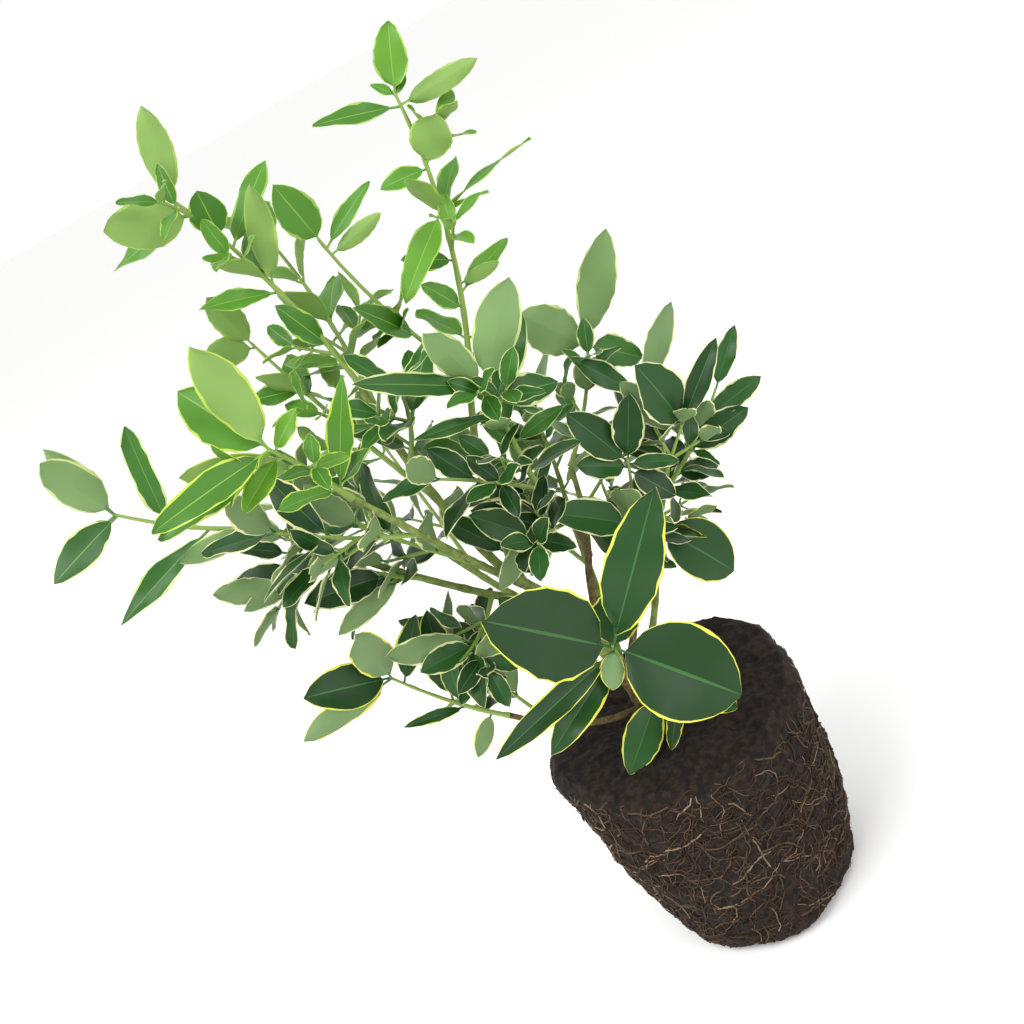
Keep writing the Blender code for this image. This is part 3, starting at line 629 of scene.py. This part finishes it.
BROWN_LIMBS = ("main_stem", "leader_right", "bough_low_left", "bough_centre", "bough_right", "bough_front")

# A fine leaf: stations along it, and places across it as shares of the half width
STATIONS = 13
BLADE_FOOT = 0.10  # where the blade begins, as a share of the length
FINE_WIDTH = 1.04  # its width against the solid's
OUTLINE = (0.92, 0.62)  # how far its widest place lies towards the foot, and how full its outline is
NARROWEST = 0.03
SERRATION = 0.03
TEETH = 37  # turns of the outline's wave
VEIN_HALF = 0.035
INNER = 0.5
MARGIN = 0.10  # its usual share of the half width
MARGIN_RANGE = (0.03, 0.32)
MARGIN_RAGGED = 1.8
MARGIN_PATCHES = 6
BIG_LEAF = 13  # past this width a margin gets no wider
FINE_THICKNESS = 0.32
EDGE_THICKNESS = 0.35  # against the blade's own
FOLD = 0.20
WAVE_TURNS = 9
QUILTING = 0.012  # how deep the side veins press the blade, as a share of the length
QUILT_TURNS = (26, 5)  # along the blade, and less towards its edge
STALK = (0.45, 0.004)  # the stalk's radius, and what each millimetre of length adds
STALK_END = 0.14
UPPER, UNDER, EDGE, RIB = range(4)

# Stems
ROUND_STEP = 3  # between a fine stem's rings
JOINT_STEP = 14  # between the swellings on a stem
LIMB_ROUND, TWIG_ROUND, SPRIG_ROUND = 12, 8, 6  # sides of a fine limb, twig and side twig
LIMB_SWELL, TWIG_SWELL = 0.18, 0.25
WAVINESS = 0.10

# Finishes
RELIEF_DEPTH = 0.4
PATCH_STOPS = (0.42, 0.62)

# The root ball
BALL_COLUMNS, BALL_ROWS = 220, 90
BALL_SPAN = 1.5  # the rows run over the underside, then up the side to 1, then in over the top to this
UNDERSIDE_END, TOP_START = 0.1, 0.98
CRUMB_SIZE, CRUMB_DEPTH = 6, 1.3
TOP_LUMP_SIZE, TOP_LUMP_DEPTH, TOP_RISE = 9, 2.0, 1.2
FOOT_WEAR = 4  # height of the worn lower edge
RIM_WEAR = 0.9

# The roots matted over it
ROOT_STEP = 2.6
ROOT_RADII = (0.18, 0.22, 0.3, 0.42)
ROOT_STEPS = (6, 16)
ROOT_WANDER = 0.35
LEVEL_ROOTS = 0.55  # the share that runs round the ball and not up it
# Fine roots, from wet and dark to dry and tan
ROOT_SHADES = (("root_dark", "#33251a"), ("root_brown", "#54402e"), ("root_tan", "#85705a"))
SHADE_SHARES = (6, 4, 1)

# The stage
FLOOR_SIZE = 30
LAMPS = (((-0.7, -0.5, 1.3), 0.9, 14), ((0.8, -0.9, 0.8), 0.8, 5))  # place, size and power
LAMP_AIM = Vector((0, 0, 0.2))
CAMERA_PLACE = (-0.0157, -0.4107, 0.4018)
SENSOR = 36


def linear(code):
    """Linear colour of an sRGB hex code."""
    parts = [int(code[i : i + 2], 16) / 255 for i in (1, 3, 5)]
    return (*[p / 12.92 if p <= 0.04045 else ((p + 0.055) / 1.055) ** 2.4 for p in parts], 1)


def plain(name, code, roughness, gloss=0.35):
    """A finish of one colour."""
    made = bpy.data.materials.new(name)
    made.use_nodes = True
    shader = made.node_tree.nodes["Principled BSDF"]
    shader.inputs["Base Color"].default_value = linear(code)
    shader.inputs["Roughness"].default_value = roughness
    shader.inputs["Specular IOR Level"].default_value = gloss
    return made


def add_node(tree, kind, settings=(), links=()):
    """Adds a shader node, sets its inputs or properties, and links sockets into it."""
    made = tree.nodes.new(kind)
    for key, value in dict(settings).items():
        if isinstance(key, str) and hasattr(made, key):
            setattr(made, key, value)
        else:
            made.inputs[key].default_value = value
    for key, socket in dict(links).items():
        tree.links.new(socket, made.inputs[key])
    return made


def mottled(name, first, second, size_mm, roughness, relief=0.3):
    """A finish of two colours in patches of about that size, with a fine relief."""
    made = plain(name, first, roughness)
    tree = made.node_tree
    shader = tree.nodes["Principled BSDF"]
    place = add_node(tree, "ShaderNodeTexCoord").outputs["Object"]
    scale = 1 / (size_mm * MM)
    patches = add_node(tree, "ShaderNodeTexNoise", {"Scale": scale, "Detail": 6.0}, {"Vector": place})
    ramp = add_node(tree, "ShaderNodeValToRGB", (), {"Fac": patches.outputs["Fac"]})
    for stop, place, code in zip(ramp.color_ramp.elements, PATCH_STOPS, (first, second)):
        stop.position = place
        stop.color = linear(code)
    tree.links.new(ramp.outputs["Color"], shader.inputs["Base Color"])
    settings = {"Strength": relief, "Distance": RELIEF_DEPTH * MM}
    bump = add_node(tree, "ShaderNodeBump", settings, {"Height": patches.outputs["Fac"]})
    tree.links.new(bump.outputs["Normal"], shader.inputs["Normal"])
    return made


def mesh_object(name, points, faces, finishes, slots=None, smooth=60):
    """An object from points in millimetres, shaded smooth up to an angle."""
    mesh = bpy.data.meshes.new(name)
    mesh.from_pydata([tuple(MM * p) for p in points], [], faces)
    for finish in finishes:
        mesh.materials.append(finish)
    if slots:
        mesh.polygons.foreach_set("material_index", slots)
    made = bpy.data.objects.new(name, mesh)
    bpy.context.scene.collection.objects.link(made)
    bpy.ops.object.select_all(action="DESELECT")
    bpy.context.view_layer.objects.active = made
    made.select_set(True)
    bpy.ops.object.shade_smooth_by_angle(angle=math.radians(smooth))
    return made


def grown():
    """Every stem, and the mass of each shoot, grown by the source's rule."""
    stems = grown_stems()
    shapes, trees = {}, {}
    for row in (*LIMBS, *SHOOTS):
        sides = LIMB_SIDES if row in LIMBS else TWIG_SIDES
        shapes[row.name] = stem_shape(stems[row.name], stems.get(row.parent), sides)
        trees[row.name] = tree_of(shapes[row.name])
    soil = tree_of(tube([ball_ring(0, 1, 0), ball_ring(BALL_HEIGHT + RIM_RISE, 60, 0)], Vector(), SOIL))
    masses = {}
    for row in SHOOTS:
        others = [tree for name, tree in trees.items() if name != row.name]
        mass = Mass(row, stems[row.name], [*others, soil])
        mass.grow()
        masses[row.name] = mass
        trees[row.name + "_leaves"] = tree_of(joined_shape(mass.shapes))
    for mass in masses.values():
        if not mass.row.pairs:
            continue
        mass.others = [tree for name, tree in trees.items() if not name.startswith(mass.row.name)] + [soil]
        for i in range(EXTRA_SPRIGS):
            place = mass.rng.uniform(*EXTRA_REACH)
            mass.sprig(mass.twig.point(place), mass.twig.direction(place), mass.rng.uniform(0, 360))
        trees[mass.row.name + "_leaves"] = tree_of(joined_shape(mass.shapes))
    return stems, masses


def margin_inside(margin, t, seed, side):
    """Where a leaf's ragged margin begins, as a share of its half width."""
    ragged = margin * (1 + MARGIN_RAGGED * noise.noise(Vector((MARGIN_PATCHES * t, seed, side))))
    return 1 - min(MARGIN_RANGE[1], max(MARGIN_RANGE[0], ragged))


def leaf_layers(leaf, rng):
    """The points of a leaf's upper side and then its underside, row by row from foot to tip, and its curl."""
    root, direction, upper, length, width = leaf
    side = direction.cross(upper)
    fold = FOLD * rng.uniform(0.4, 1.5)
    curl = LEAF_ARCH * rng.uniform(0.6, 1.3)
    wave, phase, seed = rng.uniform(0.01, 0.05), rng.uniform(0, 6), rng.uniform(0, 90)
    half = width / 2 * FINE_WIDTH
    margin = MARGIN * min(1, BIG_LEAF / width)
    points = []
    for layer in (0, 1):
        for i in range(STATIONS):
            t = i / (STATIONS - 1)
            along = BLADE_FOOT + (1 - BLADE_FOOT) * t
            full = math.sin(math.pi * t ** OUTLINE[0]) ** OUTLINE[1] if 0 < t < 1 else 0
            broad = max(NARROWEST, full) * (1 + SERRATION * math.sin(TEETH * t + seed))
            right, left = margin_inside(margin, t, seed, 0), margin_inside(margin, t, seed, 7)
            spine = root + direction * (along * length) - upper * (curl * length * along * along)
            for v in (-1, -left, -INNER, -VEIN_HALF, VEIN_HALF, INNER, right, 1):
                lift = fold * half * broad * abs(v)
                lift += wave * length * math.sin(WAVE_TURNS * t + phase) * v * abs(v)
                if abs(v) > VEIN_HALF:
                    pressed = math.cos(QUILT_TURNS[0] * t - QUILT_TURNS[1] * abs(v))
                    lift -= QUILTING * length * pressed * (1 - abs(v))
                thick = FINE_THICKNESS * (EDGE_THICKNESS if abs(v) > 0.9 else 1) * layer
                points.append(spine + side * (v * half * broad) + upper * (lift - thick))
    return points, curl


def fine_leaf(leaf, rng):
    """Points and faces of one leaf, and the part of the leaf that each face belongs to."""
    root, direction, upper, length, _ = leaf
    side = direction.cross(upper)
    points, curl = leaf_layers(leaf, rng)
    faces, parts = [], []
    wide, one = 8, 8 * STATIONS
    for i in range(STATIONS - 1):
        for j in range(wide - 1):
            a = i * wide + j
            kind = EDGE if j in (0, wide - 2) else RIB if j == 3 else UPPER
            faces.append((a, a + 1, a + wide + 1, a + wide))
            parts.append(kind)
            faces.append((a + one, a + one + wide, a + one + wide + 1, a + one + 1))
            parts.append(EDGE if kind == EDGE else UNDER)
        for j in (0, wide - 1):
            a = i * wide + j
            quad = (a, a + wide, a + wide + one, a + one)
            faces.append(quad if j == 0 else tuple(reversed(quad)))
            parts.append(EDGE)
    first = len(points)
    stalk = STALK[0] + STALK[1] * length
    for place, reach in ((0.0, stalk), (STALK_END, stalk * 0.9)):
        centre = root + direction * (place * length) - upper * (curl * length * place * place + 0.1)
        for turn in (0, 120, 240):
            a = math.radians(turn)
            points.append(centre + reach * (math.cos(a) * side + math.sin(a) * upper))
    for j in range(3):
        k = (j + 1) % 3
        faces.append((first + j, first + k, first + 3 + k, first + 3 + j))
        parts.append(RIB)
    return points, faces, parts


def leaf_finishes():
    """Leaf finishes by age: upper sides, undersides, margins and midribs."""
    made = {}
    # Living leaf: thin and bright when young, thick, dark and waxy when mature, and matt underneath. Each row
    # holds three upper sides, the underside, a cream margin, a yellow margin and the midrib.
    for age, uppers, under, cream, yellow, rib in (
        ("young", ("#4f8427", "#5c8f2a", "#417322"), "#7da050", "#93b54a", "#b3c948", "#79a344"),
        ("middling", ("#2c5e1e", "#376923", "#275419"), "#76965c", "#c0cd84", "#ccd257", "#55823a"),
        ("mature", ("#163a13", "#1c4517", "#23501d"), "#6f8b59", "#d6d79c", "#d9d74e", "#33642a"),
    ):
        made[age] = {
            "upper": [plain(f"leaf_{age}_{i}", code, 0.38, 0.3) for i, code in enumerate(uppers)],
            "under": plain(f"leaf_{age}_under", under, 0.62),
            "cream": plain(f"leaf_{age}_margin", cream, 0.42),
            "yellow": plain(f"leaf_{age}_yellow_margin", yellow, 0.42),
            "rib": plain(f"leaf_{age}_midrib", rib, 0.42),
        }
    return made


class SHRUB_OT_leaves(bpy.types.Operator):
    """Builds the leaves of every shoot, joined by region"""

    bl_idname = "shrub.leaves"
    bl_label = "Leaves"

    def execute(self, context):
        _, masses = grown()
        finishes = leaf_finishes()
        for region, names in REGIONS.items():
            points, faces, slots, used = [], [], [], []
            rng = random.Random(region)
            for short in names:
                age = "young" if short in YOUNG else "middling" if short in MIDDLING else "mature"
                kit = finishes[age]
                margin = kit["yellow" if short in YELLOW_EDGED else "cream"]
                for leaf in masses["foliage_" + short].leaves:
                    theirs = (rng.choice(kit["upper"]), kit["under"], margin, kit["rib"])
                    some, quads, parts = fine_leaf(leaf, rng)
                    for finish in theirs:
                        if finish not in used:
                            used.append(finish)
                    base = len(points)
                    points += some
                    faces += [tuple(base + i for i in quad) for quad in quads]
                    slots += [used.index(theirs[part]) for part in parts]
            made = mesh_object(region, points, faces, used, slots, 70)
            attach(made, "root")
            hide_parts(*["foliage_" + short for short in names])
        return {"FINISHED"}


def round_stem(stem, parent, sides, swell):
    """A stem's rings every few millimetres, with a swelling at each node and a little waviness."""
    steps = max(4, round(stem.length() / ROUND_STEP))
    rings = []
    for i in range(steps + 1):
        place = i / steps
        radius = stem.radius(place)
        if parent is None:
            radius *= 1 + (FLARE - 1) * math.exp(-place * 9)
        joint = math.cos(place * stem.length() / JOINT_STEP * 2 * math.pi)
        radius *= 1 + swell * max(0.0, joint) ** 8
        one = ring(stem.point(place), stem.direction(place), radius, sides)
        centre = stem.point(place)
        rings.append([centre + (p - centre) * (1 + WAVINESS * noise.noise(p * 0.9)) for p in one])
    return tube(rings, stem.point(0), stem.tip)


class SHRUB_OT_stems(bpy.types.Operator):
    """Builds the limbs with the relief of young bark, and the twigs"""

    bl_idname = "shrub.stems"
    bl_label = "Stems and twigs"

    def execute(self, context):
        stems, masses = grown()
        # Corky bark on the older stems, and smooth green bark on this year's
        old = mottled("bark_brown", "#6b5a35", "#4a3c25", 2.0, 0.8)
        green = mottled("bark_green", "#7f9347", "#66703a", 3.0, 0.6)
        for name, brown, finish in (("limbs_brown", True, old), ("limbs_green", False, green)):
            rows = [row for row in LIMBS if (row.name in BROWN_LIMBS) == brown]
            fine = [round_stem(stems[r.name], stems.get(r.parent), LIMB_ROUND, LIMB_SWELL) for r in rows]
            shape = joined_shape(fine)
            made = mesh_object(name, *shape, [finish])
            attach(made, "root")
            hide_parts(*[r.name for r in rows])
        shapes = [round_stem(stems[r.name], stems[r.parent], TWIG_ROUND, TWIG_SWELL) for r in SHOOTS]
        for mass in masses.values():
            for root, tip in mass.sprigs:
                axis = (tip - root).normalized()
                foot = ring(root, axis, SPRIG_RADIUS, SPRIG_ROUND)
                shapes.append(tube([foot, ring(tip, axis, TWIG_TIP_RADIUS, SPRIG_ROUND)], root, tip))
        # Soft green shoots, with a slight sheen
        twigs = mesh_object("twigs", *joined_shape(shapes), [plain("twig_green", "#86a04c", 0.5)])
        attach(twigs, "root")
        return {"FINISHED"}


def ball_radius(height, turn):
    """The root ball's radius at a height above its underside and a turn round it."""
    share = min(1, max(0, (height - FOOT_WEAR) / (BALL_HEIGHT - 10)))
    radius = BALL_FOOT_RADIUS + (BALL_TOP_RADIUS - BALL_FOOT_RADIUS) * share**0.8
    radius += BALL_ROUGHNESS * (math.sin(3 * turn + height / 19) + 0.6 * math.sin(7 * turn - height / 13))
    if height < FOOT_WEAR:
        radius -= FOOT_WEAR - height
    if height > BALL_HEIGHT - FOOT_WEAR:
        radius -= RIM_WEAR * (height - BALL_HEIGHT + FOOT_WEAR)
    return radius


def crumbs(p):
    """How far the compost stands out at a point."""
    return noise.fractal(p / CRUMB_SIZE, 0.6, 2.1, 5) * CRUMB_DEPTH


def ball_point(turn, up):
    """A point of the ball. `up` runs over its underside, up its side and then in over its top."""
    height = BALL_HEIGHT * min(1, max(0, (up - UNDERSIDE_END) / (1 - UNDERSIDE_END)))
    radius = ball_radius(height, turn)
    if up < UNDERSIDE_END:
        radius = radius * up / UNDERSIDE_END
    elif up >= 1:
        radius = radius * (1 - (up - 1) / (BALL_SPAN - 1))
    p = Vector((radius * math.cos(turn), radius * math.sin(turn), height))
    rough = crumbs(p)
    if up >= TOP_START:
        p += UP * rough
        p.z += TOP_LUMP_DEPTH * noise.noise(p / TOP_LUMP_SIZE) + TOP_RISE
    elif up >= UNDERSIDE_END:
        p += Vector((math.cos(turn), math.sin(turn), 0)) * rough
    return p


def root_walk(rng):
    """One root's points over the ball's side, and its thickness."""
    turn, height = rng.uniform(0, 2 * math.pi), rng.uniform(2, BALL_HEIGHT - 1)
    heading = rng.gauss(0, 0.9) + (0 if rng.random() < LEVEL_ROOTS else math.pi / 2)
    thick = rng.choice(ROOT_RADII)
    walk = []
    for _ in range(rng.randint(*ROOT_STEPS)):
        radius = ball_radius(height, turn)
        out = Vector((math.cos(turn), math.sin(turn), 0))
        base = out * radius + UP * height
        walk.append(base + out * (crumbs(base) + rng.uniform(0.0, 0.5)))
        heading += rng.gauss(0, ROOT_WANDER)
        turn += math.cos(heading) * ROOT_STEP / radius
        height += math.sin(heading) * ROOT_STEP
        if not 1 < height < BALL_HEIGHT:
            break
    return walk, thick


class SHRUB_OT_root_ball(bpy.types.Operator):
    """Builds the root ball's crumbly compost, and the roots matted over it"""

    bl_idname = "shrub.root_ball"
    bl_label = "Root ball"

    def execute(self, context):
        bpy.ops.object.select_all(action="DESELECT")
        bpy.ops.mesh.primitive_grid_add(x_subdivisions=BALL_COLUMNS, y_subdivisions=BALL_ROWS, size=1)
        ball = bpy.context.object
        ball.name = "root_ball_compost"
        mesh = ball.data
        for v in mesh.vertices:
            v.co = MM * ball_point(2 * math.pi * (v.co.x + 0.5), (v.co.y + 0.5) * BALL_SPAN)
        bpy.ops.object.mode_set(mode="EDIT")
        bpy.ops.mesh.select_all(action="SELECT")
        bpy.ops.mesh.remove_doubles(threshold=0.00005)
        bpy.ops.mesh.normals_make_consistent(inside=False)
        bpy.ops.object.mode_set(mode="OBJECT")
        bpy.ops.object.shade_smooth_by_angle(angle=math.radians(40))
        # Moist peat compost, matt and crumbly
        mesh.materials.append(mottled("compost", "#120c09", "#2b1f17", 3.0, 0.95, 0.8))
        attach(ball, "root")
        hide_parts("root_ball")

        rng = random.Random(7)
        finishes = [plain(name, code, 0.85) for name, code in ROOT_SHADES]
        points, faces, slots = [], [], []
        for _ in range(context.scene.shrub.roots):
            walk, thick = root_walk(rng)
            if len(walk) < 3:
                continue
            rings = [ring(a, (b - a).normalized(), thick, 3) for a, b in zip(walk, walk[1:])]
            some, theirs = tube(rings, walk[0], walk[-2])
            base = len(points)
            points += some
            faces += [tuple(base + k for k in face) for face in theirs]
            slots += [rng.choices((0, 1, 2), SHADE_SHARES)[0]] * len(theirs)
        roots = mesh_object("matted_roots", points, faces, finishes, slots, 80)
        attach(roots, "root")
        return {"FINISHED"}


class SHRUB_OT_stage(bpy.types.Operator):
    """Sets the floor, the soft light and the camera"""

    bl_idname = "shrub.stage"
    bl_label = "Stage"

    def execute(self, context):
        scene = context.scene
        bpy.ops.mesh.primitive_plane_add(size=FLOOR_SIZE)
        floor = bpy.context.object
        floor.name = "floor"
        # Matt white paper
        floor.data.materials.append(plain("floor_paper", "#fbfbfa", 0.9))
        world = bpy.data.worlds.new("studio")
        world.use_nodes = True
        world.node_tree.nodes["Background"].inputs[0].default_value = (1, 1, 1, 1)
        world.node_tree.nodes["Background"].inputs[1].default_value = 1.0
        scene.world = world
        for place, size, power in LAMPS:
            lamp = bpy.data.lights.new("softbox", "AREA")
            lamp.size, lamp.energy = size, power
            holder = bpy.data.objects.new("softbox", lamp)
            turned = (LAMP_AIM - Vector(place)).to_track_quat("-Z", "Y").to_matrix().to_4x4()
            holder.matrix_world = Matrix.Translation(place) @ turned
            scene.collection.objects.link(holder)
        optics = bpy.data.cameras.new("camera")
        optics.sensor_width = SENSOR
        optics.lens = scene.shrub.lens
        camera = bpy.data.objects.new("camera", optics)
        down, roll = scene.shrub.camera_down, scene.shrub.camera_roll
        ahead = Vector((0, math.cos(down), -math.sin(down)))
        right = Vector((1, 0, 0))
        above = right.cross(ahead)
        across = math.cos(roll) * right + math.sin(roll) * above
        over = math.cos(roll) * above - math.sin(roll) * right
        turned = Matrix((across, over, -ahead)).transposed().to_4x4()
        camera.matrix_world = Matrix.Translation(CAMERA_PLACE) @ turned
        scene.collection.objects.link(camera)
        scene.camera = camera
        scene.view_settings.view_transform = "Standard"
        return {"FINISHED"}


class ShrubSettings(bpy.types.PropertyGroup):
    roots: bpy.props.IntProperty(name="Roots", description="Roots matted over the ball", default=1700, min=0)
    lens: bpy.props.FloatProperty(
        name="Lens", description="Focal length of the camera", default=40.43, subtype="DISTANCE_CAMERA"
    )
    camera_down: bpy.props.FloatProperty(
        name="Camera tilt",
        description="How far the camera looks down",
        default=math.radians(23.8),
        subtype="ANGLE",
    )
    camera_roll: bpy.props.FloatProperty(
        name="Camera roll",
        description="How far the camera leans",
        default=math.radians(-30.4),
        subtype="ANGLE",
    )


class SHRUB_PT_panel(bpy.types.Panel):
    """Lists the steps that build the shrub"""

    bl_idname = "SHRUB_PT_panel"
    bl_label = "Shrub"
    bl_space_type = "VIEW_3D"
    bl_region_type = "UI"
    bl_category = "Shrub"

    def draw(self, context):
        for step in STEPS:
            self.layout.operator(step.bl_idname)


STEPS = (SHRUB_OT_stems, SHRUB_OT_leaves, SHRUB_OT_root_ball, SHRUB_OT_stage)
CLASSES = (ShrubSettings, *STEPS, SHRUB_PT_panel)


def register():
    for one in CLASSES:
        bpy.utils.register_class(one)
    bpy.types.Scene.shrub = bpy.props.PointerProperty(type=ShrubSettings)


def unregister():
    del bpy.types.Scene.shrub
    for one in reversed(CLASSES):
        bpy.utils.unregister_class(one)


def main():
    register()
    bpy.ops.shrub.stems()
    bpy.ops.shrub.leaves()
    bpy.ops.shrub.root_ball()
    bpy.ops.shrub.stage()


if __name__ == "__main__":
    main()
